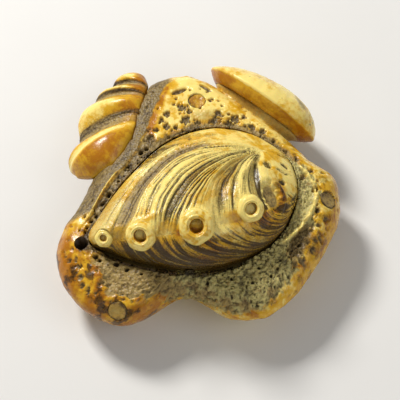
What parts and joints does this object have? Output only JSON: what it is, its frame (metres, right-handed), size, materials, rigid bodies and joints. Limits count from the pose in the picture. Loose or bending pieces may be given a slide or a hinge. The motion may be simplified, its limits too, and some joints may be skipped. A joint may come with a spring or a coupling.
{
  "type": "sew on button",
  "caption": "Carved toggle-style sew on button: an antler rock carrying an abalone, a clam and a whelk, with a bushed thread channel in its flat back.",
  "frame": {"origin": "on the flat back face, midway between the two thread holes", "axes": "+Z out of the front, +X to the right as the front is looked at with the rock's peak up, +Y towards the peak"},
  "size_m": [0.0431, 0.0447, 0.0192],
  "materials": {
    "polished_antler": "polished",
    "pale_antler": "polished",
    "amber_antler": "polished",
    "stained_horn": "polished",
    "dark_horn": "polished",
    "dowel_antler": "polished"
  },
  "bodies": {
    "root": {"rock_base": "polished_antler", "abalone_shell": "pale_antler", "siphon_collar_1": "pale_antler", "siphon_collar_2": "pale_antler", "siphon_collar_3": "pale_antler", "siphon_collar_4": "pale_antler", "clam_shell": "pale_antler", "whelk_shell": "amber_antler", "inlay_disc_top": "stained_horn", "inlay_disc_left": "stained_horn", "inlay_disc_right": "stained_horn", "thread_bush_left": "dark_horn", "thread_bush_right": "dark_horn", "abalone_dowels": "dowel_antler", "clam_dowel": "dowel_antler", "whelk_dowel": "dowel_antler"}
  },
  "joints": []
}
